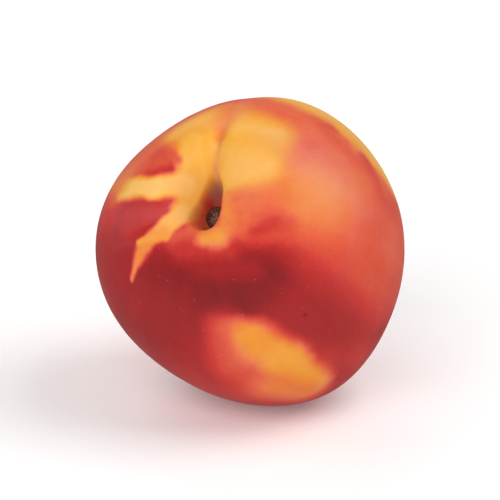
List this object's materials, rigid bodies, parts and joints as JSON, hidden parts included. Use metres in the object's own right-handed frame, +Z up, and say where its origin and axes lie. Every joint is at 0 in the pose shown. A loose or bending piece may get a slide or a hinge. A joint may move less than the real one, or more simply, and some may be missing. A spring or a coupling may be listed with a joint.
{
  "type": "nectarine",
  "caption": "Whole ripe nectarine, smooth red and yellow skin, with a deep stem cavity, a suture and the dry end of its stalk, lying on a small flat spot.",
  "frame": {"origin": "middle of the small flat spot that the fruit rests on", "axes": "+Z up; the stem end leans towards -Y, 38 degrees above level and 24 degrees round towards -X, and the suture runs up from it"},
  "size_m": [0.0678, 0.0675, 0.0664],
  "materials": {
    "skin": "satin",
    "stalk": "matte"
  },
  "bodies": {
    "root": {"fruit": "skin", "stalk_end": "stalk"}
  },
  "joints": []
}
